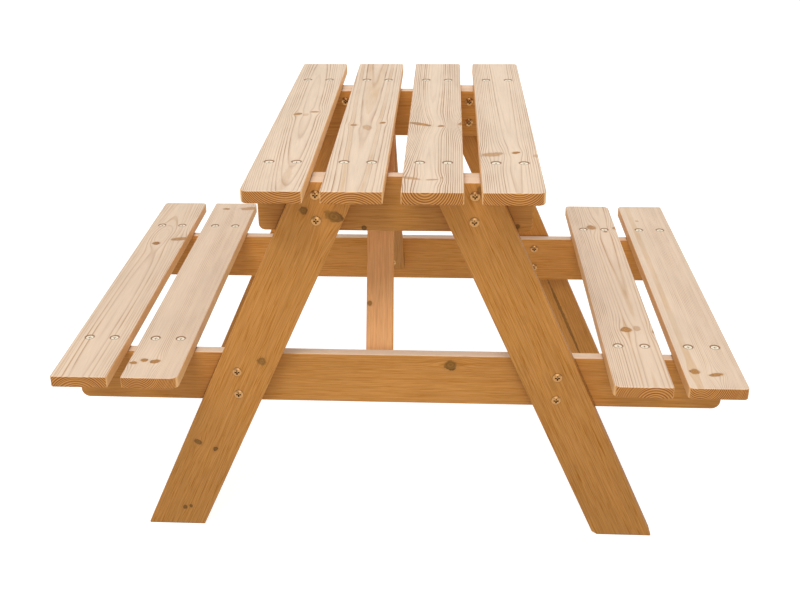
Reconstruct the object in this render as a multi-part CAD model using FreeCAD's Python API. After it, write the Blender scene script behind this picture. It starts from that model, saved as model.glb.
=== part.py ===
import FreeCAD
import Part
import math
import os

# Children's picnic table: two A-frames carry four tabletop boards and, on long bearers that run out past
# the legs, a bench of two boards on each side. Two diagonal braces stiffen it lengthways.
#
# Millimetres. The origin is on the ground under the middle of the table. X runs along the bearers, from
# bench to bench, Y runs along the boards, from the front frame (-Y) to the rear frame (+Y), and Z is up.

# Driving dimensions: overall
TABLE_HEIGHT = 510.0
SEAT_HEIGHT = 270.0
BOARD_LENGTH = 610.0
SEAT_SPREAD = 836.0          # over the outer edges of the two benches

# Driving dimensions: timber
BOARD_WIDTH = 70.0           # the one width of board, cleat, bearer and leg
BOARD_THICKNESS = 15.0
LEG_THICKNESS = 22.0
BRACE_WIDTH = 35.0
BRACE_THICKNESS = 15.0
EDGE_RADIUS = 1.4            # planed edges
CLEAT_CORNER_RADIUS = 8.0    # lower corners of the cleats, seen from the front
BEARER_CORNER_RADIUS = 11.0
PLAIN_CORNER = 3.0           # corners of the boards, seen from above
EASED_CORNER = 5.5
ROUND_CORNER = 9.5

# Driving dimensions: layout
TOP_BOARD_COUNT = 4
TOP_GAP = 20.0
SEAT_GAP = 17.0
CLEAT_LENGTH = 332.0
BEARER_LENGTH = 831.0
CLEAT_X = -1.5               # the cleats and bearers sit this far off the table's middle
BEARER_X = -2.0
FRAME_OUTER_Y = 229.0        # outer face of the legs
LEG_FOOT_X = 340.0           # outer edge of a leg on the ground
LEG_HEAD_X = 116.0           # outer edge of a leg under the tabletop
FOOT_CHAMFER = 5.0           # inner lower corner of the front right leg
BRACE_HEAD_X = -28.0         # middle of the braces under the tabletop
BRACE_FOOT_X = -23.0         # middle of the braces at the bearers
BRACE_FOOT_Z = 201.0         # lowest point of a brace, on the bearer's inner face
BRACE_SLOPE = math.radians(55.7)

# Hand-sanded corners that are rounder than the plain ones: (side in X, side in Y) of each
BOARD_CORNERS = {
    "tabletop_board_1": {(-1, -1): ROUND_CORNER, (1, 1): EASED_CORNER},
    "tabletop_board_4": {(1, -1): ROUND_CORNER, (1, 1): EASED_CORNER},
    "seat_board_left_outer": {(-1, 1): EASED_CORNER, (1, 1): EASED_CORNER},
    "seat_board_left_inner": {(1, -1): ROUND_CORNER, (1, 1): EASED_CORNER},
    "seat_board_right_inner": {(-1, -1): ROUND_CORNER, (1, 1): ROUND_CORNER, (-1, 1): EASED_CORNER},
    "seat_board_right_outer": {(-1, -1): EASED_CORNER, (1, -1): EASED_CORNER, (-1, 1): EASED_CORNER},
}

# Driving dimensions: fasteners
SCREW_PITCH = 33.0           # two screws across each board
SCREW_HEAD_D = 9.6
SCREW_SHANK_D = 4.0
SCREW_LENGTH = 40.0
SCREW_POINT = 5.0
SCREW_SINK = 0.7             # the heads sit this much below the surface
COUNTERSINK_D = 11.2
HEAD_RIM = 0.4               # thickness of a screw head's edge
HEAD_CONE_DEPTH = 3.0
SCREW_CROSS = (5.2, 1.1)     # length and width of the cross recess in a screw's head
BOLT_CROSS = (6.4, 1.9)
CROSS_DEPTH = 1.8
CUTTER_OVERRUN = 20.0        # cutters start this far outside what they cut
FOOT_SCREW_LENGTH = 22.0
FOOT_SCREW_RISE = 15.0       # height of the foot screws above the brace's lowest point
HEAD_SCREW_LENGTH = 27.0
HEAD_SCREW_Y = 6.5           # distance of the head screws from the table's middle
BRACE_SCREW_LIFT = 1.2       # the heads of the brace screws sit this far out in the sloping face
BOLT_PITCH = 32.5            # two bolts above each other at each crossing
BOLT_OUTSET = 1.7            # the bolts are this far outside the middle of the leg
BOLT_MARGIN = 16.5           # from the member's top edge to the upper bolt
BOLT_HEAD_D = 12.0
BOLT_RIM = 0.7
BOLT_DOME = 1.5
DOME_SHOULDER = (0.55, 0.72) # where the dome's curve passes, as parts of its radius and its rise
BOLT_SHANK_D = 6.0
BOLT_SHANK_LENGTH = 30.0
SLEEVE_D = 8.0
SLEEVE_LENGTH = 24.0
SLEEVE_BORE_DEPTH = 19.0

# Heights and places that follow
TOP_UNDERSIDE = TABLE_HEIGHT - BOARD_THICKNESS
BEARER_TOP = SEAT_HEIGHT - BOARD_THICKNESS
FRAME_JOINT_Y = FRAME_OUTER_Y - LEG_THICKNESS
FRAME_INNER_Y = FRAME_JOINT_Y - BOARD_THICKNESS
CLEAT_MIDDLE_Y = (FRAME_JOINT_Y + FRAME_INNER_Y) / 2.0
LEG_LEAN = math.atan2(LEG_FOOT_X - LEG_HEAD_X, TOP_UNDERSIDE)
LEG_RUN = BOARD_WIDTH / math.cos(LEG_LEAN)       # horizontal width of a leaning leg
TOP_PITCH = BOARD_WIDTH + TOP_GAP
TOP_BOARD_X = [(i - (TOP_BOARD_COUNT - 1) / 2.0) * TOP_PITCH for i in range(TOP_BOARD_COUNT)]
SEAT_OUTER_X = (SEAT_SPREAD - BOARD_WIDTH) / 2.0
SEAT_INNER_X = SEAT_OUTER_X - BOARD_WIDTH - SEAT_GAP
FRAMES = {"front": -1, "rear": 1}
SIDES = {"left": -1, "right": 1}

UP = FreeCAD.Vector(0, 0, 1)
DOWN = FreeCAD.Vector(0, 0, -1)
ORIGIN = FreeCAD.Vector(0, 0, 0)


def vec(x, y, z):
    return FreeCAD.Vector(x, y, z)


def edges_along(shape, direction):
    """The straight edges of the shape that run along a direction."""
    found = []
    for edge in shape.Edges:
        if isinstance(edge.Curve, Part.Line):
            if abs(abs(edge.tangentAt(edge.FirstParameter).dot(direction)) - 1.0) < 1e-6:
                found.append(edge)
    return found


def rounded_plank(size, corner_axis, corner_radius):
    """A box centred on the origin with corners rounded about one axis and every rim softly rounded.

    corner_radius gives the radius at the middle of a corner's edge, or 0 for a corner left square."""
    plank = Part.makeBox(size.x, size.y, size.z, size * -0.5)
    for corner in [edge.CenterOfMass for edge in edges_along(plank, corner_axis)]:
        if corner_radius(corner) > 0:
            edge = [e for e in edges_along(plank, corner_axis) if e.CenterOfMass.isEqual(corner, 1e-6)]
            plank = plank.makeFillet(corner_radius(corner), edge)
    rims = [e for e in plank.Edges if not is_seam(e, corner_axis, size)]
    return plank.makeFillet(EDGE_RADIUS, rims)


def is_seam(edge, corner_axis, size):
    """Whether an edge is where a rounded corner runs into a flat side, which has nothing to round."""
    if not isinstance(edge.Curve, Part.Line):
        return False
    if abs(abs(edge.tangentAt(edge.FirstParameter).dot(corner_axis)) - 1.0) > 1e-6:
        return False
    middle = edge.CenterOfMass
    gaps = [s / 2.0 - abs(c) for c, s, a in zip(middle, size, corner_axis) if a == 0.0]
    return max(gaps) > 1e-6


def long_board(name, x, top):
    """A tabletop or seat board, centred on x, with its upper face at the given height."""
    corners = BOARD_CORNERS.get(name, {})

    def radius(corner):
        return corners.get((math.copysign(1, corner.x), math.copysign(1, corner.y)), PLAIN_CORNER)

    board = rounded_plank(vec(BOARD_WIDTH, BOARD_LENGTH, BOARD_THICKNESS), UP, radius)
    board.translate(vec(x, 0, top - BOARD_THICKNESS / 2.0))
    return board


def cross_member(length, x, top, side, lower_radius):
    """A cleat or bearer on edge, centred on x, with its two lower corners rounded."""
    size = vec(length, BOARD_THICKNESS, BOARD_WIDTH)
    member = rounded_plank(size, vec(0, 1, 0), lambda corner: lower_radius if corner.z < 0 else 0.0)
    member.translate(vec(x, side * CLEAT_MIDDLE_Y, top - BOARD_WIDTH / 2.0))
    return member


def leg_middle_x(height):
    """Distance of a leg's centre line from the table's middle, at a height."""
    return LEG_FOOT_X - height * math.tan(LEG_LEAN) - LEG_RUN / 2.0


def leg(frame_side, bench_side, chamfer):
    """A leaning leg, cut level at the ground and under the tabletop."""
    foot = [vec(LEG_FOOT_X, 0, 0), vec(LEG_HEAD_X, 0, TOP_UNDERSIDE)]
    head = [vec(LEG_HEAD_X - LEG_RUN, 0, TOP_UNDERSIDE), vec(LEG_FOOT_X - LEG_RUN, 0, 0)]
    outline = foot + head
    if chamfer:
        along_leg = (head[0] - head[1]).normalize() * chamfer
        outline = foot + [head[0], head[1] + along_leg, head[1] + vec(chamfer, 0, 0)]
    solid = Part.Face(Part.makePolygon(outline + outline[:1])).extrude(vec(0, LEG_THICKNESS, 0))
    solid = solid.makeFillet(EDGE_RADIUS, solid.Edges)
    if bench_side < 0:
        solid = solid.mirror(ORIGIN, vec(1, 0, 0))
    lowest_y = FRAME_JOINT_Y if frame_side > 0 else -FRAME_OUTER_Y
    solid.translate(vec(0, lowest_y, 0))
    return solid


def brace(side):
    """A diagonal brace from the bearer's inner face to the middle of the tabletop's underside."""
    foot_rise = BRACE_THICKNESS / math.cos(BRACE_SLOPE)
    foot = vec(BRACE_FOOT_X, side * FRAME_INNER_Y, BRACE_FOOT_Z + foot_rise / 2.0)
    head_z = foot.z + FRAME_INNER_Y * math.tan(BRACE_SLOPE)
    head = vec(BRACE_HEAD_X, 0, head_z)
    run = (head - foot).normalize()
    across = vec(1, 0, 0) - run * run.x
    across.normalize()
    outward = run.cross(across)
    half_w = across * (BRACE_WIDTH / 2.0)
    half_t = outward * (BRACE_THICKNESS / 2.0)
    start = foot - run * BRACE_WIDTH
    corners = [start + half_w + half_t, start - half_w + half_t]
    corners += [start - half_w - half_t, start + half_w - half_t]
    length = (head - foot).Length + 2.0 * BRACE_WIDTH
    bar = Part.Face(Part.makePolygon(corners + corners[:1])).extrude(run * length)
    bar = bar.makeFillet(EDGE_RADIUS, edges_along(bar, run))
    lowest_y = 0.0 if side > 0 else -FRAME_INNER_Y
    half_room = 2.0 * BRACE_WIDTH
    room_start = vec(BRACE_FOOT_X - half_room, lowest_y, 0)
    room = Part.makeBox(2.0 * half_room, FRAME_INNER_Y, TOP_UNDERSIDE, room_start)
    return bar.common(room)


def turned(profile):
    """A solid of revolution about Z from (radius, height) points, closed along the axis."""
    points = [vec(r, 0, z) for r, z in profile]
    return Part.Face(Part.makePolygon(points + points[:1])).revolve(ORIGIN, UP, 360)


def cross_recess(top, length, width):
    """The cutter of a driver's cross, reaching down from a height."""
    start = vec(-length / 2.0, -width / 2.0, top - CROSS_DEPTH)
    first = Part.makeBox(length, width, CROSS_DEPTH + CUTTER_OVERRUN, start)
    second = first.copy()
    second.rotate(ORIGIN, UP, 90)
    return first.fuse(second)


def wood_screw(length):
    """A countersunk screw pointing down, with its head's top at the origin."""
    head_r = SCREW_HEAD_D / 2.0
    shank_r = SCREW_SHANK_D / 2.0
    profile = [(0, 0), (head_r, 0), (head_r, -HEAD_RIM), (shank_r, -HEAD_CONE_DEPTH)]
    profile += [(shank_r, SCREW_POINT - length), (0, -length)]
    return turned(profile).cut(cross_recess(0.0, *SCREW_CROSS))


def screw_hole(length):
    """What a wood screw needs cut away: its own shape under a countersink."""
    head_r = SCREW_HEAD_D / 2.0
    shank_r = SCREW_SHANK_D / 2.0
    rim_r = COUNTERSINK_D / 2.0
    profile = [(0, CUTTER_OVERRUN), (rim_r, CUTTER_OVERRUN), (rim_r, SCREW_SINK), (head_r, 0)]
    profile += [(head_r, -HEAD_RIM), (shank_r, -HEAD_CONE_DEPTH)]
    profile += [(shank_r, SCREW_POINT - length), (0, -length)]
    return turned(profile)


def domed_head():
    """A low domed head standing up from the origin."""
    radius = BOLT_HEAD_D / 2.0
    top = BOLT_RIM + BOLT_DOME
    shoulder = vec(radius * DOME_SHOULDER[0], 0, BOLT_RIM + BOLT_DOME * DOME_SHOULDER[1])
    bow = Part.Arc(vec(radius, 0, BOLT_RIM), shoulder, vec(0, 0, top))
    lines = [vec(0, 0, top), ORIGIN, vec(radius, 0, 0), vec(radius, 0, BOLT_RIM)]
    wire = Part.Wire(Part.makePolygon(lines).Edges + [bow.toShape()])
    return Part.Face(wire).revolve(ORIGIN, UP, 360).cut(cross_recess(top, *BOLT_CROSS))


def frame_bolt():
    """A bolt pointing down, with the underside of its head at the origin."""
    shank = Part.makeCylinder(BOLT_SHANK_D / 2.0, BOLT_SHANK_LENGTH, ORIGIN, DOWN)
    return domed_head().fuse(shank).removeSplitter()


def sleeve_nut():
    """A flanged threaded sleeve pointing down, with the underside of its flange at the origin."""
    barrel = Part.makeCylinder(SLEEVE_D / 2.0, SLEEVE_LENGTH, ORIGIN, DOWN)
    bore_start = vec(0, 0, SLEEVE_BORE_DEPTH - SLEEVE_LENGTH)
    bore = Part.makeCylinder(BOLT_SHANK_D / 2.0, SLEEVE_BORE_DEPTH, bore_start, DOWN)
    return domed_head().fuse(barrel).removeSplitter().cut(bore)


def placed(shape, point, pointing):
    """A copy of a fastener or hole drawn pointing down, moved to a point and turned to its direction."""
    copy = shape.copy()
    copy.Placement = FreeCAD.Placement(point, FreeCAD.Rotation(DOWN, pointing))
    return copy


def board_screw_points(x, top, side):
    """Head centres of the two screws that hold a board to one cleat or bearer."""
    y = side * CLEAT_MIDDLE_Y
    return [vec(x + s * SCREW_PITCH / 2.0, y, top - SCREW_SINK) for s in (-1, 1)]


def crossing_bolts(member_top):
    """(distance from the middle, height) of the two bolts where a leg crosses a cleat or bearer."""
    heights = [member_top - BOLT_MARGIN, member_top - BOLT_MARGIN - BOLT_PITCH]
    x = leg_middle_x(sum(heights) / 2.0) + BOLT_OUTSET
    return [(x, z) for z in heights]


parts = {}

# Boards, each with its screws and screw holes
top_boards = {f"tabletop_board_{i + 1}": x for i, x in enumerate(TOP_BOARD_X)}
seat_boards = {}
for side_name, bench in SIDES.items():
    seat_boards[f"seat_board_{side_name}_outer"] = bench * SEAT_OUTER_X
    seat_boards[f"seat_board_{side_name}_inner"] = bench * SEAT_INNER_X

board_screw = wood_screw(SCREW_LENGTH)
board_screw_hole = screw_hole(SCREW_LENGTH)
holes = {}
screws = {}
board_sets = (
    (top_boards, TABLE_HEIGHT, "top_cleat", "tabletop_screws"),
    (seat_boards, SEAT_HEIGHT, "seat_bearer", "seat_screws"),
)
for boards, top, member, screw_group in board_sets:
    for board_name, x in boards.items():
        solid = long_board(board_name, x, top)
        for frame_name, side in FRAMES.items():
            group = f"{screw_group}_{frame_name}"
            for point in board_screw_points(x, top, side):
                hole = placed(board_screw_hole, point, DOWN)
                solid = solid.cut(hole)
                holes.setdefault(f"{member}_{frame_name}", []).append(hole)
                screws.setdefault(group, []).append(placed(board_screw, point, DOWN))
        parts[board_name] = solid

# Braces, each screwed into the bearer at its foot and up into a tabletop board at its head
foot_screw = wood_screw(FOOT_SCREW_LENGTH)
foot_screw_hole = screw_hole(FOOT_SCREW_LENGTH)
head_screw = wood_screw(HEAD_SCREW_LENGTH)
head_screw_hole = screw_hole(HEAD_SCREW_LENGTH)
for frame_name, side in FRAMES.items():
    solid = brace(side)
    inward = FOOT_SCREW_RISE / math.tan(BRACE_SLOPE)
    foot_y = FRAME_INNER_Y - inward + BRACE_SCREW_LIFT
    foot_point = vec(BRACE_FOOT_X, side * foot_y, BRACE_FOOT_Z + FOOT_SCREW_RISE)
    head_rise = (FRAME_INNER_Y - HEAD_SCREW_Y) * math.tan(BRACE_SLOPE)
    head_point = vec(BRACE_HEAD_X, side * HEAD_SCREW_Y, BRACE_FOOT_Z + head_rise + BRACE_SCREW_LIFT)
    into_bearer = vec(0, side, 0)
    foot_hole = placed(foot_screw_hole, foot_point, into_bearer)
    head_hole = placed(head_screw_hole, head_point, UP)
    parts[f"brace_{frame_name}"] = solid.cut([foot_hole, head_hole])
    parts["tabletop_board_2"] = parts["tabletop_board_2"].cut(head_hole)
    holes[f"seat_bearer_{frame_name}"].append(foot_hole)
    screws.setdefault("brace_foot_screws", []).append(placed(foot_screw, foot_point, into_bearer))
    screws.setdefault("brace_head_screws", []).append(placed(head_screw, head_point, UP))

# Frames: legs bolted to the outside of a cleat and a bearer
bolt = frame_bolt()
nut = sleeve_nut()
way_length = FRAME_OUTER_Y - FRAME_INNER_Y + 2.0 * CUTTER_OVERRUN
bolt_way = Part.makeCylinder(SLEEVE_D / 2.0, way_length, vec(0, 0, CUTTER_OVERRUN), DOWN)
members = {
    "top_cleat": (CLEAT_LENGTH, CLEAT_X, TOP_UNDERSIDE, CLEAT_CORNER_RADIUS),
    "seat_bearer": (BEARER_LENGTH, BEARER_X, BEARER_TOP, BEARER_CORNER_RADIUS),
}
for frame_name, side in FRAMES.items():
    inward = vec(0, -side, 0)
    outward = vec(0, side, 0)
    leg_holes = {side_name: [] for side_name in SIDES}
    for member, (length, middle_x, top, corner_radius) in members.items():
        ways = []
        bolts = []
        nuts = []
        for side_name, bench in SIDES.items():
            for x, z in crossing_bolts(top):
                outer_point = vec(bench * x, side * FRAME_OUTER_Y, z)
                way = placed(bolt_way, outer_point, inward)
                ways.append(way)
                leg_holes[side_name].append(way)
                bolts.append(placed(bolt, outer_point, inward))
                nuts.append(placed(nut, vec(bench * x, side * FRAME_INNER_Y, z), outward))
        solid = cross_member(length, middle_x, top, side, corner_radius)
        parts[f"{member}_{frame_name}"] = solid.cut(ways + holes[f"{member}_{frame_name}"])
        screws[f"{member}_bolts_{frame_name}"] = bolts
        screws[f"{member}_sleeve_nuts_{frame_name}"] = nuts
    for side_name, bench in SIDES.items():
        chamfer = FOOT_CHAMFER if (frame_name, side_name) == ("front", "right") else 0.0
        parts[f"leg_{frame_name}_{side_name}"] = leg(side, bench, chamfer).cut(leg_holes[side_name])

for group, solids in screws.items():
    parts[group] = Part.makeCompound(solids)

os.makedirs("parts", exist_ok=True)
for name, shape in sorted(parts.items()):
    shape.exportStep(f"parts/{name}.step")
    print(f"{name}: {len(shape.Solids)} solid(s), {shape.Volume / 1000.0:.1f} cm3, valid {shape.isValid()}")
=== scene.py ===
import math
from collections import namedtuple

import bpy
from mathutils import Matrix, Vector


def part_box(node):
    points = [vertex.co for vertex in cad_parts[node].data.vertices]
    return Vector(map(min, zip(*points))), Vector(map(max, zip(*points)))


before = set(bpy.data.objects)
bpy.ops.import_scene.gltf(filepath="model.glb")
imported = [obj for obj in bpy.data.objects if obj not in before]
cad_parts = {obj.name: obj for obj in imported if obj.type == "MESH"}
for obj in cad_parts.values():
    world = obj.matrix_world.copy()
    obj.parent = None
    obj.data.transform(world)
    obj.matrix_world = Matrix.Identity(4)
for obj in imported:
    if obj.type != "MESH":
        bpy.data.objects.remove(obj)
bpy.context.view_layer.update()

MM = 0.001

# Camera, in metres and degrees: it stands in front of the table, a little right of its middle, and looks
# down on it and slightly to the left.
CAMERA_AT = (0.058, -1.4499, 0.9188)
CAMERA_TURN_LEFT = 3.985
CAMERA_TILT_DOWN = 24.686
CAMERA_ROLL = -0.888
CAMERA_LENS = 49.594
CAMERA_SHIFT = (0.0335, -0.0125)

FLOOR_REACH = 9.0            # metres from the table's middle to each side of the floor

# The leaning members
LEG_WIDTH = 0.070            # metres
BRACE_SLOPE = math.radians(55.7)

# Where a board's screws are, in millimetres either side of its middle, across and along
BOARD_SCREWS = (16.5, 199.5)
NO_SCREWS = (1000.0, 1000.0)
NO_BANDS = ((1000.0, 0.0), (1000.0, 0.0))

# Wood colours, linear: faces that look up get painted light, pale as if lit strongly from above with a
# white sheen on them, and the others keep the honey colour. The narrow sides of boards have a colour of
# their own, painted light that brightens them, and the END colours are those of sawn ends.
WoodColours = namedtuple("WoodColours", "early late band knot knot_edge")
PAINTED_TOP_LIGHT = WoodColours(early=(0.8, 0.625, 0.465, 1.0), late=(0.36, 0.165, 0.065, 1.0),
              band=(0.7, 0.485, 0.295, 1.0), knot=(0.49, 0.225, 0.045, 1.0),
              knot_edge=(0.2, 0.075, 0.016, 1.0))
HONEY = WoodColours(early=(0.59, 0.265, 0.06, 1.0), late=(0.34, 0.105, 0.003, 1.0),
               band=(0.4, 0.165, 0.036, 1.0), knot=(0.25, 0.115, 0.018, 1.0),
               knot_edge=(0.07, 0.026, 0.002, 1.0))
SIDE_LIGHT_COLOUR = (0.92, 0.58, 0.27, 1.0)
END_EARLY = (0.61, 0.285, 0.074, 1.0)
END_LATE = (0.19, 0.037, 0.001, 1.0)
# Dark brown of painted shade, where parts meet and round the screws, where it also stands for darker fibres
SHADE_AND_STAIN = (0.2, 0.09, 0.03, 1.0)

# How dark the wood is through one growth ring, from early wood to late wood, on faces and on sawn ends
RING_PROFILE = ((0.0, 0.2), (0.08, 0.0), (0.56, 0.05), (0.78, 0.45), (0.92, 1.0), (1.0, 0.2))
END_RING_PROFILE = ((0.0, 0.6), (0.12, 0.0), (0.35, 0.05), (0.65, 0.75), (0.86, 1.0), (1.0, 0.6))

# Lengths in millimetres that shape the grain
SEED_STEP = 17.3             # how far apart the noise of two seeds lies
BEND_ACROSS = 70.0           # size of the pith's wavering, across and along
BEND_ALONG = 260.0
CROWDING = 120.0             # rings this far from the pith are a third as wide as at it
SCREW_SHADE_RING = (7.4, 5.7)     # radii where the dark ring round a screw ends and is full, painted shade with darker fibres
SHELTER_REACH = 2.5          # how far from a neighbour the painted shade reaches

AXIS_X, AXIS_Y, AXIS_Z = Vector((1, 0, 0)), Vector((0, 1, 0)), Vector((0, 0, 1))

# A knot lies across and along the timber's middle, in millimetres. depth is how dark it is, and with none
# it only pulls on the rings. pull moves the rings nearby towards the pith (-) or away from it (+).
Knot = namedtuple("Knot", "across along half_width half_length depth tilt pull", defaults=(0.0, 0.0))


class Graph:
    """Builds a node tree. Each method adds one node and returns its output socket."""

    def __init__(self, tree):
        self.tree = tree

    def feed(self, socket, value):
        if isinstance(value, bpy.types.NodeSocket):
            self.tree.links.new(value, socket)
        else:
            socket.default_value = value

    def node(self, kind, settings=None, **inputs):
        made = self.tree.nodes.new(kind)
        for name, value in (settings or {}).items():
            setattr(made, name, value)
        for name, value in inputs.items():
            self.feed(made.inputs[name.replace("_", " ")], value)
        return made

    def math(self, operation, *values):
        made = self.node("ShaderNodeMath", {"operation": operation})
        for socket, value in zip(made.inputs, values):
            self.feed(socket, value)
        return made.outputs[0]

    def vector_math(self, operation, *values):
        made = self.node("ShaderNodeVectorMath", {"operation": operation})
        for socket, value in zip(made.inputs, values):
            self.feed(socket, value)
        return made.outputs["Value" if operation == "LENGTH" else "Vector"]

    def smooth(self, value, low, high, to_low=0.0, to_high=1.0):
        made = self.node("ShaderNodeMapRange", {"interpolation_type": "SMOOTHSTEP"})
        for name, number in zip(("Value", "From Min", "From Max", "To Min", "To Max"),
                                (value, low, high, to_low, to_high)):
            self.feed(made.inputs[name], number)
        return made.outputs["Result"]

    def mix(self, factor, first, second):
        made = self.node("ShaderNodeMix", {"data_type": "RGBA"})
        self.feed(made.inputs[0], factor)
        self.feed(made.inputs[6], first)
        self.feed(made.inputs[7], second)
        return made.outputs[2]

    def noise(self, vector, scale=1.0, detail=2.0, roughness=0.5):
        made = self.node("ShaderNodeTexNoise", Vector=vector, Scale=scale, Detail=detail,
                         Roughness=roughness)
        return made.outputs["Fac"]

    def combine(self, x, y, z):
        made = self.node("ShaderNodeCombineXYZ")
        for socket, value in zip(made.inputs, (x, y, z)):
            self.feed(socket, value)
        return made.outputs[0]

    def separate(self, vector):
        return self.node("ShaderNodeSeparateXYZ", Vector=vector).outputs

    def ramp(self, factor, stops):
        made = self.node("ShaderNodeValToRGB", Fac=factor)
        elements = made.color_ramp.elements
        while len(elements) < len(stops):
            elements.new(0.5)
        for element, (position, grey) in zip(elements, stops):
            element.position = position
            element.color = (grey, grey, grey, 1.0)
        return made.outputs["Color"]


def new_group(name, inputs, outputs):
    """An empty node group with float sockets, or vector and colour ones where the name says so."""
    kinds = {"Place": "NodeSocketVector", "Turned Normal": "NodeSocketVector", "Color": "NodeSocketColor"}
    group = bpy.data.node_groups.new(name, "ShaderNodeTree")
    for side, sockets in (("INPUT", inputs), ("OUTPUT", outputs)):
        for socket in sockets:
            kind = kinds.get(socket, "NodeSocketFloat")
            group.interface.new_socket(socket, in_out=side, socket_type=kind)
    graph = Graph(group)
    return graph, graph.node("NodeGroupInput").outputs, graph.node("NodeGroupOutput").inputs


def knot_group():
    """A knot that crosses the timber's thickness. It parts the fibres round itself, pulls on the rings and
    adds to the masks of the knots' wood, their dark edges and the tinted wood round them.

    Place is in millimetres across, along and through the timber."""
    graph, given, result = new_group(
        "knot",
        ("Place", "Across", "Along", "Half Width", "Half Length", "Tilt", "Depth", "Pull",
         "Push So Far", "Pull So Far", "Core So Far", "Edge So Far", "Halo So Far"),
        ("Push", "Pull", "Core", "Edge", "Halo"))
    across, along, through = graph.separate(given["Place"])
    across = graph.math("SUBTRACT", across, given["Across"])
    along = graph.math("SUBTRACT", along, given["Along"])
    tilted = graph.math("SUBTRACT", along, graph.math("MULTIPLY", across, given["Tilt"]))
    ragged = graph.noise(given["Place"], scale=0.22, detail=3.0)
    wobble = graph.math("MULTIPLY_ADD", ragged, 0.9, 0.55)
    u = graph.math("DIVIDE", across, given["Half Width"])
    v = graph.math("DIVIDE", tilted, given["Half Length"])
    distance = graph.vector_math("LENGTH", graph.combine(u, v, 0.0))
    distance = graph.math("MULTIPLY", distance, wobble)
    core = graph.smooth(distance, 1.12, 0.72)
    own_rings = graph.math("SINE", graph.math("MULTIPLY", distance, 13.0))
    own_rings = graph.math("MULTIPLY", graph.math("MULTIPLY_ADD", own_rings, 0.22, 0.26), core)
    edge_offset = graph.math("DIVIDE", graph.math("SUBTRACT", distance, 0.94), 0.16)
    edge = graph.math("EXPONENT", graph.math("MULTIPLY", graph.math("POWER", edge_offset, 2.0), -1.0))
    uneven = graph.smooth(graph.noise(given["Place"], scale=0.09, detail=1.0), 0.35, 0.62, 0.25, 1.0)
    edge = graph.math("MULTIPLY", graph.math("MAXIMUM", graph.math("MULTIPLY", edge, uneven), own_rings),
                      given["Depth"])
    core = graph.math("MULTIPLY", core, graph.math("POWER", given["Depth"], 0.6))
    halo = graph.math("MULTIPLY", graph.smooth(distance, 2.1, 0.9), given["Depth"])

    # Fibres part over a length that follows from the knot's size
    grown = graph.math("MULTIPLY", given["Half Width"], 1.6)
    reach = graph.vector_math("LENGTH", graph.combine(
        graph.math("DIVIDE", u, 1.7),
        graph.math("DIVIDE", along, graph.math("MULTIPLY_ADD", given["Half Length"], 2.2, grown)), 0.0))
    fading = graph.math("EXPONENT", graph.math("MULTIPLY", graph.math("POWER", reach, 2.0), -1.0))
    parting = graph.math("MINIMUM", graph.math("MULTIPLY", given["Depth"], 1.2), 0.85)
    push = graph.math("MULTIPLY", graph.math("MULTIPLY", across, fading), parting)
    pull = graph.math("MULTIPLY", fading, given["Pull"])
    graph.feed(result["Push"], graph.math("ADD", given["Push So Far"], push))
    graph.feed(result["Pull"], graph.math("ADD", given["Pull So Far"], pull))
    graph.feed(result["Core"], graph.math("MAXIMUM", given["Core So Far"], core))
    graph.feed(result["Edge"], graph.math("MAXIMUM", given["Edge So Far"], edge))
    graph.feed(result["Halo"], graph.math("MAXIMUM", given["Halo So Far"], halo))
    return graph.tree


TIMBER_INPUTS = (
    "Place", "Turned Normal", "Pith Across", "Pith Through", "Drift Across", "Drift Through", "Bow Across",
    "Bow Through", "Ring", "Waver", "Contrast", "First Band", "First Half", "Second Band", "Second Half",
    "Streaks", "Bare Flank", "Tone", "Tone Drift", "Screw Across", "Screw Along", "Seed",
    "Push", "Pull", "Core", "Edge", "Halo")


def drawn_out_noise(graph, section, along, seed, per_mm, per_mm_along, detail, roughness=0.5):
    """Noise drawn out along the timber. section is the place in its cross section."""
    across, through = section
    return graph.noise(graph.combine(graph.math("MULTIPLY", across, per_mm),
                                     graph.math("MULTIPLY_ADD", along, per_mm_along, seed),
                                     graph.math("MULTIPLY", through, per_mm)),
                       detail=detail, roughness=roughness)


def section_from_pith(graph, given, seed):
    """Place in the section as seen from the pith, which leans, bows and wavers along the timber."""
    across, along, through = graph.separate(given["Place"])
    along_squared = graph.math("MULTIPLY", along, along)
    bend_at = graph.combine(graph.math("DIVIDE", across, BEND_ACROSS),
                            graph.math("ADD", graph.math("DIVIDE", along, BEND_ALONG), seed),
                            graph.math("DIVIDE", through, BEND_ACROSS))
    bend = graph.node("ShaderNodeTexNoise", Vector=bend_at, Scale=1.0, Detail=2.0, Roughness=0.45)
    bends = graph.separate(graph.vector_math("SUBTRACT", bend.outputs["Color"], (0.5, 0.5, 0.5)))

    def from_pith(place, side, bend_here):
        place = graph.math("SUBTRACT", place, given["Pith " + side])
        place = graph.math("SUBTRACT", place, graph.math("MULTIPLY", along, given["Drift " + side]))
        bow = graph.math("MULTIPLY", along_squared, given["Bow " + side])
        place = graph.math("SUBTRACT", place, bow)
        return graph.math("MULTIPLY_ADD", bend_here, given["Waver"], place)

    parted = graph.math("SUBTRACT", across, given["Push"])
    return from_pith(parted, "Across", bends[0]), from_pith(through, "Through", bends[1])


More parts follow.
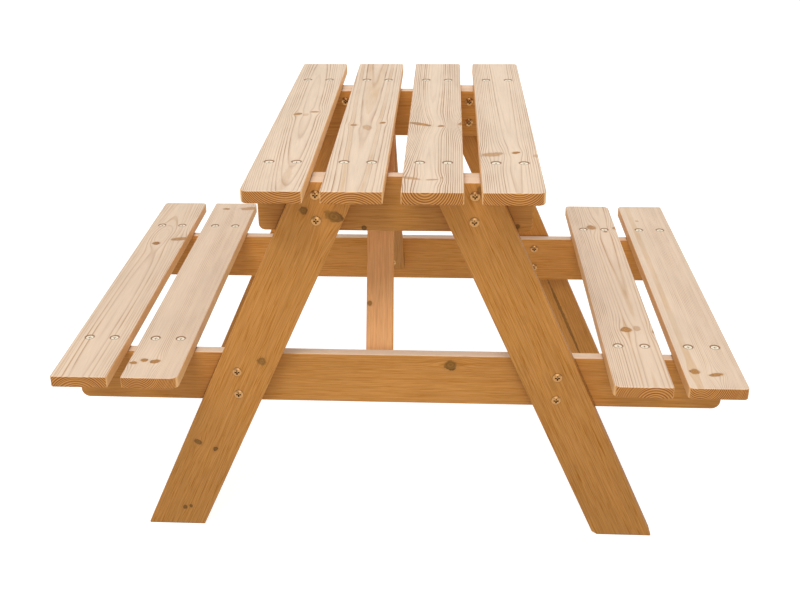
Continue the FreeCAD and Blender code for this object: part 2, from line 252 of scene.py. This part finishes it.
def growth_rings(graph, given, seed, section, radius, patchy):
    """Late wood on the faces and on the sawn ends: rings that crowd outwards, uneven in width and strength.
    On the faces they are faint close to the pith and straight above and below it."""
    uneven = graph.noise(graph.combine(graph.math("MULTIPLY", radius, 0.11), seed, 0.0), detail=1.0)
    crowded = graph.math("MULTIPLY", radius, graph.math("MULTIPLY_ADD", radius, 1.0 / CROWDING, 1.0))
    count = graph.math("ADD", graph.math("DIVIDE", crowded, given["Ring"]),
                       graph.math("MULTIPLY", uneven, 1.3))
    in_ring = graph.math("FRACT", count)
    strength = graph.noise(graph.combine(graph.math("MULTIPLY", radius, 0.23), 3.1, seed), detail=1.0)
    strength = graph.smooth(strength, 0.34, 0.66, 0.35, 1.0)
    strength = graph.math("MULTIPLY", strength, graph.smooth(radius, 8.0, 17.0, 0.3, 1.0))

    rings = graph.math("MULTIPLY", graph.ramp(in_ring, RING_PROFILE), strength)
    rings = graph.math("MULTIPLY", rings, patchy)
    flat_sawn = graph.smooth(graph.math("ABSOLUTE", section[0]), 3.0, 16.0, 0.4, 1.0)
    rings = graph.math("MULTIPLY", graph.math("MULTIPLY", rings, flat_sawn), given["Contrast"])
    end_rings = graph.math("MULTIPLY", graph.ramp(in_ring, END_RING_PROFILE),
                           graph.smooth(strength, 0.2, 0.8, 0.75, 1.0))
    return rings, end_rings


def tan_bands(graph, given, radius, patchy):
    """Mask of the two broad tan growth bands."""
    def band(name):
        gap = graph.math("ABSOLUTE", graph.math("SUBTRACT", radius, given[name + " Band"]))
        return graph.smooth(graph.math("SUBTRACT", gap, given[name + " Half"]), 0.12, -0.12)

    bands = graph.math("MAXIMUM", band("First"), band("Second"))
    return graph.math("MULTIPLY", bands, graph.math("MULTIPLY", patchy, 0.8))


def figured(graph, given, base, wood_colours, bands, lines):
    """The wood in one set of colours, with its bands, lines and knots. It is drawn twice, pale with painted
    light from above and honey.
    """
    color = graph.mix(bands, base, wood_colours.band)
    color = graph.mix(lines, color, wood_colours.late)
    color = graph.mix(graph.math("MULTIPLY", given["Halo"], 0.45), color, wood_colours.band)
    color = graph.mix(given["Core"], color, wood_colours.knot)
    return graph.mix(given["Edge"], color, wood_colours.knot_edge)


def add_shade_and_stain(graph, given, color):
    """Adds a dark ring round a board's four screws, painted shade of each countersink's gap with crushed,
    darker fibres round it, and painted shade where something touches the wood.
    """
    across, along, _ = graph.separate(given["Place"])
    screw_x = graph.math("SUBTRACT", graph.math("ABSOLUTE", across), given["Screw Across"])
    screw_y = graph.math("SUBTRACT", graph.math("ABSOLUTE", along), given["Screw Along"])
    screw_gap = graph.vector_math("LENGTH", graph.combine(screw_x, screw_y, 0.0))
    # A dark ring round each screw: painted shade of the countersink's gap, with darker fibres round it
    color = graph.mix(graph.smooth(screw_gap, *SCREW_SHADE_RING, 0.0, 0.85), color, SHADE_AND_STAIN)
    # Painted shade where parts meet and in creases, where little of the surroundings is open
    occlusion = graph.node("ShaderNodeAmbientOcclusion", {"samples": 4}, Distance=SHELTER_REACH * MM)
    return graph.mix(graph.smooth(occlusion.outputs["AO"], 0.90, 0.45, 0.0, 0.85), color, SHADE_AND_STAIN)


def timber_group():
    """Pine as a solid: rings about a pith, fibres along the timber, knots and honey faces, with painted
    light on faces that look up and on the sides of boards, painted shade where parts meet and round the
    screws, and a painted highlight on the arrises.
    """
    graph, given, result = new_group("timber", TIMBER_INPUTS, ("Color", "Roughness", "Height"))
    across, along, through = graph.separate(given["Place"])
    seed = graph.math("MULTIPLY", given["Seed"], SEED_STEP)
    section = section_from_pith(graph, given, seed)
    radius = graph.vector_math("LENGTH", graph.combine(*section, 0.0))
    radius = graph.math("SUBTRACT", radius, given["Pull"])

    # What is drawn on the wood
    patchy = drawn_out_noise(graph, (across, through), along, seed, 0.05, 0.011, detail=2.0)
    patchy = graph.smooth(patchy, 0.35, 0.65, 0.5, 1.1)
    rings, end_rings = growth_rings(graph, given, seed, section, radius, patchy)
    bands = tan_bands(graph, given, radius, patchy)
    fibres = drawn_out_noise(graph, section, along, seed, 1.2, 0.022, detail=4.0, roughness=0.62)
    streaks = drawn_out_noise(graph, section, along, seed, 0.85, 0.026, detail=3.0, roughness=0.6)
    dark_streaks = graph.math("MULTIPLY", graph.smooth(streaks, 0.54, 0.70), given["Streaks"])
    cloud = drawn_out_noise(graph, (across, through), along, seed, 0.028, 0.009, detail=3.0)

    # Which way a face looks
    turned = graph.separate(graph.vector_math("ABSOLUTE", given["Turned Normal"]))
    end_grain = graph.smooth(turned[1], 0.55, 0.85)
    flattest = graph.math("MAXIMUM", graph.math("MAXIMUM", turned[0], turned[1]), turned[2])
    # Painted highlight: the rounded arrises are made lighter, where they would catch the light
    arris_highlight = graph.smooth(flattest, 0.995, 0.86)
    upward = graph.separate(graph.node("ShaderNodeNewGeometry").outputs["Normal"])[2]
    # Faces that look up get painted light, pale as if lit strongly from above with a white sheen
    top_light_mask = graph.smooth(upward, 0.44, 0.9)
    # The narrow sides of boards get painted light that brightens them
    lit_mask = graph.math("MULTIPLY", graph.smooth(turned[0], 0.5, 0.9), given["Bare Flank"])

    # Colour
    faint_streaks = graph.math("MULTIPLY", dark_streaks, 0.35)
    pale = figured(graph, given, PAINTED_TOP_LIGHT.early, PAINTED_TOP_LIGHT, bands, graph.math("MAXIMUM", rings, faint_streaks))
    honey = graph.mix(graph.smooth(fibres, 0.62, 0.36, 0.0, 0.34), HONEY.early, HONEY.late)
    honey = figured(graph, given, honey, HONEY, bands, graph.math("MAXIMUM", rings, dark_streaks))
    honey = graph.mix(lit_mask, honey, SIDE_LIGHT_COLOUR)
    end = graph.mix(end_rings, END_EARLY, END_LATE)
    color = graph.mix(top_light_mask, graph.mix(end_grain, honey, end), pale)
    # Painted shade round the screws and where parts touch
    color = add_shade_and_stain(graph, given, color)

    # Tone: each timber's own brightness with painted light and shade on it and painted shade towards the
    # floor on the front legs, fibres, slow cloudiness and a painted highlight on the rounded arrises
    tone_and_painted_light = graph.math("MULTIPLY_ADD", along, given["Tone Drift"], given["Tone"])
    tone_and_painted_light = graph.math("MULTIPLY_ADD", top_light_mask, graph.math("SUBTRACT", 1.0, tone_and_painted_light), tone_and_painted_light)
    value = graph.math("MULTIPLY_ADD", graph.math("SUBTRACT", fibres, 0.5), 0.30, tone_and_painted_light)
    value = graph.math("MULTIPLY_ADD", graph.math("SUBTRACT", cloud, 0.5), 0.22, value)
    value = graph.math("MULTIPLY_ADD", arris_highlight, 0.10, value)
    saturation = graph.math("MULTIPLY_ADD", graph.math("SUBTRACT", streaks, 0.5), 0.12, 1.0)
    toned = graph.node("ShaderNodeHueSaturation", Saturation=saturation, Value=value, Color=color)
    graph.feed(result["Color"], toned.outputs["Color"])

    # Surface
    rough = graph.math("MULTIPLY_ADD", fibres, 0.16, 0.52)
    graph.feed(result["Roughness"], graph.math("SUBTRACT", rough, graph.math("MULTIPLY", rings, 0.08)))
    height = graph.math("MULTIPLY_ADD", fibres, 0.6, graph.math("MULTIPLY", rings, 0.5))
    graph.feed(result["Height"], graph.math("SUBTRACT", height, graph.math("MULTIPLY", given["Edge"], 0.4)))
    return graph.tree


KNOT_GROUP = knot_group()
TIMBER_GROUP = timber_group()


def middle(node):
    low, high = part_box(node)
    return (low + high) / 2


def board_frame(node):
    """(centre, across, along, through) of a tabletop or seat board."""
    return middle(node), AXIS_X, AXIS_Y, AXIS_Z


def cross_member_frame(node):
    """A cleat or a bearer, which runs from left to right on its edge."""
    return middle(node), AXIS_Z, AXIS_X, AXIS_Y


def leg_frame(node):
    """Across points out from the table's middle and along up the leg. Through is -Y in the right legs and
    +Y in the left ones."""
    centre = middle(node)
    low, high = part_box(node)
    width, height = high.x - low.x, high.z - low.z
    # Cut level at both ends, a leg has LEG_WIDTH = width * cos(lean) - height * sin(lean)
    lean = math.acos(LEG_WIDTH / math.hypot(width, height)) - math.atan2(height, width)
    side = math.copysign(1.0, centre.x)
    across = Vector((side * math.cos(lean), 0, math.sin(lean)))
    along = Vector((-side * math.sin(lean), 0, math.cos(lean)))
    return centre, across, along, across.cross(along)


def brace_frame(node):
    """A brace, which leans in towards the table's middle as it rises."""
    centre = middle(node)
    side = math.copysign(1.0, centre.y)
    along = Vector((0, -side * math.cos(BRACE_SLOPE), math.sin(BRACE_SLOPE)))
    return centre, AXIS_X, along, AXIS_X.cross(along)


def pine(node, timber_frame, pith, drift=(0.0, 0.0), bow=(0.0, 0.0), ring=2.6, waver=6.0, contrast=1.0,
         bands=NO_BANDS, streaks=0.3, flank=0.0, tone_and_painted_light=1.0, painted_shade_drift=0.0, screws=NO_SCREWS, seed=0.0,
         knots=()):
    """Gives a timber its own pine.

    pith is where the tree's heart lies in the timber's section, in millimetres across and through, and
    drift and bow are how it moves along the timber. ring is the width of the rings at the pith. bands are
    two tan growth bands, as (distance from the pith, half width). flank is how much painted light brightens
    the narrow sides. tone is how bright the honey faces are, the timber's own brightness with painted light
    and shade on it, and painted_shade_drift how that changes per millimetre along, painted shade that
    darkens a leg towards the floor."""
    centre, across, along, through = timber_frame(node)
    turn = Matrix((across, along, through)).transposed()
    material = bpy.data.materials.new("pine_" + node)
    material.use_nodes = True
    graph = Graph(material.node_tree)
    shader = material.node_tree.nodes["Principled BSDF"]

    place = graph.node("ShaderNodeMapping", {"vector_type": "TEXTURE"}, Location=centre,
                       Rotation=turn.to_euler(), Scale=(MM, MM, MM),
                       Vector=graph.node("ShaderNodeTexCoord").outputs["Object"]).outputs[0]
    normal = graph.node("ShaderNodeMapping", {"vector_type": "VECTOR"},
                        Rotation=turn.transposed().to_euler(),
                        Vector=graph.node("ShaderNodeNewGeometry").outputs["Normal"]).outputs[0]

    effects = {"Push": 0.0, "Pull": 0.0, "Core": 0.0, "Edge": 0.0, "Halo": 0.0}
    for knot in knots:
        so_far = {effect + "_So_Far": value for effect, value in effects.items()}
        made = graph.node("ShaderNodeGroup", {"node_tree": KNOT_GROUP}, Place=place, Across=knot.across,
                          Along=knot.along, Half_Width=knot.half_width, Half_Length=knot.half_length,
                          Tilt=knot.tilt, Depth=knot.depth, Pull=knot.pull, **so_far)
        effects = {effect: made.outputs[effect] for effect in effects}
    timber = graph.node("ShaderNodeGroup", {"node_tree": TIMBER_GROUP}, Place=place, Turned_Normal=normal,
                        Pith_Across=pith[0], Pith_Through=pith[1], Drift_Across=drift[0],
                        Drift_Through=drift[1], Bow_Across=bow[0], Bow_Through=bow[1], Ring=ring,
                        Waver=waver, Contrast=contrast, First_Band=bands[0][0], First_Half=bands[0][1],
                        Second_Band=bands[1][0], Second_Half=bands[1][1], Streaks=streaks,
                        Bare_Flank=flank, Tone=tone_and_painted_light, Tone_Drift=painted_shade_drift, Screw_Across=screws[0],
                        Screw_Along=screws[1], Seed=seed, **effects)
    bump = graph.node("ShaderNodeBump", Strength=0.35, Distance=0.4 * MM, Height=timber.outputs["Height"])
    graph.feed(shader.inputs["Base Color"], timber.outputs["Color"])
    graph.feed(shader.inputs["Roughness"], timber.outputs["Roughness"])
    graph.feed(shader.inputs["Normal"], bump.outputs["Normal"])
    shader.inputs["Specular IOR Level"].default_value = 0.14
    paint(node, material)


def board(node, **figure):
    """A tabletop or seat board, held by four screws."""
    pine(node, board_frame, screws=BOARD_SCREWS, **figure)


def paint(node, material):
    """Puts one material on a CAD node."""
    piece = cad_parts[node]
    piece.data.materials.clear()
    piece.data.materials.append(material)


def metal(name, color, shade_and_grime, exposed, metallic, roughness):
    """Plated steel: cloudy sheen, fine scratches, and painted shade with some grime in the recesses and
    where the head meets the wood. exposed is how open to its surroundings a point is where it is all
    painted shade and grime and where it is all plating."""
    material = bpy.data.materials.new(name)
    material.use_nodes = True
    graph = Graph(material.node_tree)
    shader = material.node_tree.nodes["Principled BSDF"]
    place = graph.node("ShaderNodeTexCoord").outputs["Object"]
    cloud = graph.noise(place, scale=420.0, detail=3.0)
    scratch = graph.noise(graph.vector_math("MULTIPLY", place, (9000.0, 900.0, 9000.0)), detail=2.0)
    # Painted shade, with some grime, in the recesses and round the head, where little of the surroundings
    # is open
    shelter = graph.node("ShaderNodeAmbientOcclusion", {"samples": 6}, Distance=2.2 * MM).outputs["AO"]
    lit_mask = graph.smooth(shelter, *exposed)
    dull = tuple(0.7 * channel for channel in color[:3]) + (1.0,)
    plated = graph.mix(graph.math("MULTIPLY", cloud, 0.35), color, dull)
    graph.feed(shader.inputs["Base Color"], graph.mix(lit_mask, shade_and_grime, plated))
    shader.inputs["Metallic"].default_value = metallic
    graph.feed(shader.inputs["Roughness"], graph.math("MULTIPLY_ADD", scratch, 0.2, roughness))
    bump = graph.node("ShaderNodeBump", Strength=0.2, Distance=0.00005, Height=scratch)
    graph.feed(shader.inputs["Normal"], bump.outputs["Normal"])
    return material


def soften(node, width):
    """Breaks the sharp edges of a fastener group."""
    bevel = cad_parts[node].modifiers.new("broken_edges", "BEVEL")
    bevel.width = width
    bevel.segments = 2
    bevel.limit_method = "ANGLE"
    bevel.angle_limit = math.radians(40)


def make_floor():
    """A floor that lights itself, so that it stays nearly white and the table's shadow on it is faint. It
    throws no diffuse light back on the table."""
    corners = [(x * FLOOR_REACH, y * FLOOR_REACH, 0.0) for x, y in ((-1, -1), (1, -1), (1, 1), (-1, 1))]
    mesh = bpy.data.meshes.new("floor")
    mesh.from_pydata(corners, [], [(0, 1, 2, 3)])
    floor = bpy.data.objects.new("floor", mesh)
    bpy.context.scene.collection.objects.link(floor)
    material = bpy.data.materials.new("pale_floor")
    material.use_nodes = True
    shader = material.node_tree.nodes["Principled BSDF"]
    shader.inputs["Base Color"].default_value = (0.45, 0.45, 0.45, 1.0)
    shader.inputs["Roughness"].default_value = 0.95
    shader.inputs["Specular IOR Level"].default_value = 0.0
    shader.inputs["Emission Color"].default_value = (1.0, 1.0, 1.0, 1.0)
    shader.inputs["Emission Strength"].default_value = 0.82
    mesh.materials.append(material)
    floor.visible_diffuse = False


def area_light(name, at, towards, size, power):
    light = bpy.data.lights.new(name, "AREA")
    light.shape = "DISK"
    light.size = size
    light.energy = power
    lamp = bpy.data.objects.new(name, light)
    lamp.location = at
    lamp.visible_camera = False
    lamp.rotation_euler = (Vector(at) - Vector(towards)).to_track_quat("Z", "Y").to_euler()
    bpy.context.scene.collection.objects.link(lamp)
    return lamp


def make_world(strength):
    """Even white light from all round. The camera sees plain white, whatever the strength."""
    world = bpy.data.worlds.new("studio")
    world.use_nodes = True
    background = world.node_tree.nodes["Background"]
    background.inputs["Color"].default_value = (1.0, 1.0, 1.0, 1.0)
    graph = Graph(world.node_tree)
    seen = graph.node("ShaderNodeLightPath").outputs["Is Camera Ray"]
    graph.feed(background.inputs["Strength"], graph.math("MULTIPLY_ADD", seen, 1.0 - strength, strength))
    bpy.context.scene.world = world


def make_camera():
    data = bpy.data.cameras.new("camera")
    data.lens = CAMERA_LENS
    data.shift_x, data.shift_y = CAMERA_SHIFT
    camera = bpy.data.objects.new("camera", data)
    turn = Matrix.Rotation(math.radians(CAMERA_TURN_LEFT), 4, "Z")
    tilt = Matrix.Rotation(math.radians(90.0 - CAMERA_TILT_DOWN), 4, "X")
    roll = Matrix.Rotation(math.radians(CAMERA_ROLL), 4, "Z")
    camera.matrix_world = Matrix.Translation(CAMERA_AT) @ turn @ tilt @ roll
    bpy.context.scene.collection.objects.link(camera)
    bpy.context.scene.camera = camera


# Timbers
board("tabletop_board_1", pith=(5.3, 26.2), drift=(-0.035, -0.0076), bow=(0.0, 5.8e-05), ring=3.8,
      waver=2, contrast=1.2, flank=0.95, seed=1,
      knots=(Knot(-8, 8, 5.5, 5, 0.8, tilt=0.3), Knot(15, 19, 6, 3, 0.8), Knot(3, 5, 4, 6, 0.12),
             Knot(12, -262, 5, 45, 0.06)))
board("tabletop_board_2", pith=(-2, -28), drift=(-0.01, 0.01), ring=4.3, waver=3, contrast=1.7,
      bands=((34.5, 1.0), (40.2, 0.6)), flank=1.0, seed=2,
      knots=(Knot(-17, -44, 4.5, 3, 1.0), Knot(20, -33, 4, 4, 1.0, tilt=0.3),
             Knot(1, -55, 6, 11, 0.25, tilt=-0.5)))
board("tabletop_board_3", pith=(-6, 13), drift=(0.008, 0.0), ring=3.8, waver=2, contrast=2.0,
      bands=((17.3, 0.3), (15.5, 0.2)), flank=0.95, seed=3,
      knots=(Knot(-35, -45, 16, 44, 0.0, pull=-19), Knot(42, -42, 12, 15, 0.0, pull=-9),
             Knot(-20, -38, 14, 6, 0.8, tilt=-0.45), Knot(8, -47, 4, 3.5, 1.0),
             Knot(36, -36, 6, 7, 0.7, tilt=0.6), Knot(-26, -257, 12, 4, 0.4, tilt=-0.4),
             Knot(-1, -262, 7, 2, 0.45, tilt=0.15), Knot(10, -255, 1.6, 4, 0.2)))
board("tabletop_board_4", pith=(5, 18.8), drift=(0.0, -0.0125), ring=3.4, waver=2, contrast=1.5,
      flank=1.0, seed=4,
      knots=(Knot(-20, -168, 13, 8, 0.45, tilt=0.2), Knot(9, -160, 4.5, 4, 1.0, tilt=0.2),
             Knot(34, -172, 5, 6, 0.25)))
board("seat_board_left_outer", pith=(-3, -26), drift=(0.0, -0.01), bow=(0.0, -3.5e-05), ring=4.1, waver=2,
      contrast=0.85, bands=((37.6, 0.35), (42.0, 0.3)), flank=0.85, seed=5,
      knots=(Knot(-8, 122, 5.5, 5.5, 0.95), Knot(26, 141, 14, 6, 0.6, tilt=0.15),
             Knot(-6, 158, 12, 9, 0.0, pull=6)))
board("seat_board_left_inner", pith=(-15, 16), ring=2.9, waver=2, contrast=0.85, flank=0.78, seed=6,
      knots=(Knot(-28, -267, 5, 3, 0.8), Knot(-16, -260, 4.5, 4, 0.85),
             Knot(-2, -263, 6, 4.5, 0.85, tilt=0.2), Knot(-12, 277, 5, 3, 0.8),
             Knot(26, 280, 14, 7, 0.4, tilt=0.1)))
board("seat_board_right_inner", pith=(14.5, -17), drift=(0.0, 0.006), bow=(0.0, 2e-05), ring=3.9, waver=3,
      contrast=1.15, bands=((24.4, 0.4), (29.0, 0.4)), flank=0.68, seed=7,
      knots=(Knot(-3, 208, 7, 8, 0.65, pull=-3), Knot(17, 190, 3, 3, 0.9),
             Knot(36, 205, 6, 7, 0.65, pull=-3), Knot(0, -154, 7, 7, 0.75), Knot(14, -150, 4.5, 7, 0.25),
             Knot(36, -160, 4, 6, 0.5, pull=-2)))
board("seat_board_right_outer", pith=(-22, 12.5), ring=2.9, waver=2, contrast=0.8,
      bands=((5.0, 1.3), (20.0, 0.2)), flank=0.62, seed=8,
      knots=(Knot(-21, -264, 5.5, 6, 0.8), Knot(3, -271, 8, 4, 0.8, tilt=0.25),
             Knot(-14, 238, 2.5, 3, 0.3)))
# The brightness given to these members is partly painted light and shade: the front brace brighter as if
# lit, the front cleat and rear brace darker as if in shade, the rear bearer and rear right leg lifted out
# of their shade, and the front legs darker towards the floor.
pine("leg_front_left", leg_frame, pith=(6, -60), ring=4.2, waver=2, seed=9, contrast=0.35, streaks=0.7,
     tone_and_painted_light=0.93, painted_shade_drift=0.0005,
     knots=(Knot(13, 226, 4.5, 4.5, 0.7, pull=1), Knot(-23, 234, 10, 7, 0.7, pull=2),
            Knot(-15, 14, 5.5, 5, 0.5, pull=1), Knot(-6, -135, 2.6, 3, 0.9),
            Knot(19, -135, 5.5, 3.5, 0.7, pull=1), Knot(-7, -236, 2.2, 2.2, 0.8),
            Knot(0, -241, 2.6, 3, 0.8)))
pine("leg_front_right", leg_frame, pith=(-4, -60), ring=4.2, waver=2, seed=10, contrast=0.35, streaks=0.7,
     tone_and_painted_light=0.88, painted_shade_drift=0.0005,
     knots=(Knot(16, 254, 4, 5, 0.6, pull=1), Knot(-27, 12, 7, 11, 0.03, pull=3),
            Knot(-1, 78, 5, 7, 0.03, pull=2), Knot(-1, -22, 4, 9, 0.06, pull=2)))
pine("leg_rear_left", leg_frame, pith=(-3, -42), drift=(0.01, 0.02), ring=5.2, seed=11, contrast=0.5,
     streaks=0.5,
     knots=(Knot(10, 60, 5, 6, 0.7, pull=2),))
pine("leg_rear_right", leg_frame, pith=(4, -11), drift=(0.02, 0.0), ring=3.4, seed=12, contrast=0.5,
     streaks=0.5, tone_and_painted_light=1.02,
     knots=(Knot(7, -150, 2, 80, 0.6),))
pine("top_cleat_front", cross_member_frame, pith=(4, -50), ring=5.0, waver=3, seed=13, contrast=0.5,
     streaks=0.5, tone_and_painted_light=0.88,
     knots=(Knot(-31, -37, 3, 3, 0.9, pull=1), Knot(-27, 148, 3, 3, 0.9, pull=1)))
pine("top_cleat_rear", cross_member_frame, pith=(-2, 40), ring=4.3, waver=3, seed=14, contrast=0.6,
     streaks=0.5)
pine("seat_bearer_front", cross_member_frame, pith=(-12, 40), drift=(0.01, 0.0), ring=4.0, waver=4,
     seed=15, contrast=0.5, streaks=0.5, tone_and_painted_light=0.96,
     knots=(Knot(22, 71, 6.5, 8, 0.75, pull=3),))
pine("seat_bearer_rear", cross_member_frame, pith=(6, -40), drift=(0.01, 0.01), ring=4.3, waver=4,
     seed=16, contrast=0.7, streaks=0.6, tone_and_painted_light=1.1)
pine("brace_front", brace_frame, pith=(0, -40), ring=3.7, waver=2, seed=17, contrast=0.45, streaks=0.5,
     tone_and_painted_light=1.44,
     knots=(Knot(-12, -68, 3, 3.5, 0.8, pull=1),))
pine("brace_rear", brace_frame, pith=(-3, -40), ring=3.7, waver=2, seed=18, contrast=0.45, streaks=0.5,
     tone_and_painted_light=0.92)

# Fasteners
# Each fastener's darker colour is painted shade in its recesses and round its head, with some grime; the
# bolts' is nearly black
zinc = metal("bright_zinc", color=(1.0, 0.89, 0.70, 1.0), shade_and_grime=(0.40, 0.25, 0.12, 1.0),
             exposed=(0.2, 0.8), metallic=0.0, roughness=0.38)
yellow_zinc = metal("yellow_zinc", color=(0.50, 0.26, 0.095, 1.0), shade_and_grime=(0.02, 0.008, 0.002, 1.0),
                    exposed=(0.5, 0.98), metallic=1.0, roughness=0.17)
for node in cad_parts:
    if "screws" in node and "brace" not in node:
        paint(node, zinc)
        soften(node, 0.15 * MM)
    elif "screws" in node or "bolts" in node or "sleeve" in node:
        paint(node, yellow_zinc)
        soften(node, 0.2 * MM)

# Floor, light and camera
make_floor()
make_world(strength=0.6)
area_light("key", at=(-0.9, -3.4, 5.4), towards=(0, 0, 0.3), size=3.2, power=168)
area_light("front", at=(0.3, -3.2, 1.2), towards=(0, 0, 0.2), size=2.0, power=15)
sparkle = area_light("sparkle", at=(-1.3, -2.2, 1.9), towards=(0, 0, 0.3), size=0.22, power=40)
sparkle.visible_diffuse = False
area_light("side_card", at=(3.2, -1.4, 1.5), towards=(0, 0, 0.35), size=2.0, power=9)
area_light("rear_card", at=(0.2, 3.2, 1.6), towards=(0, 0, 0.4), size=2.2, power=14)
make_camera()
bpy.context.scene.view_settings.view_transform = "Standard"
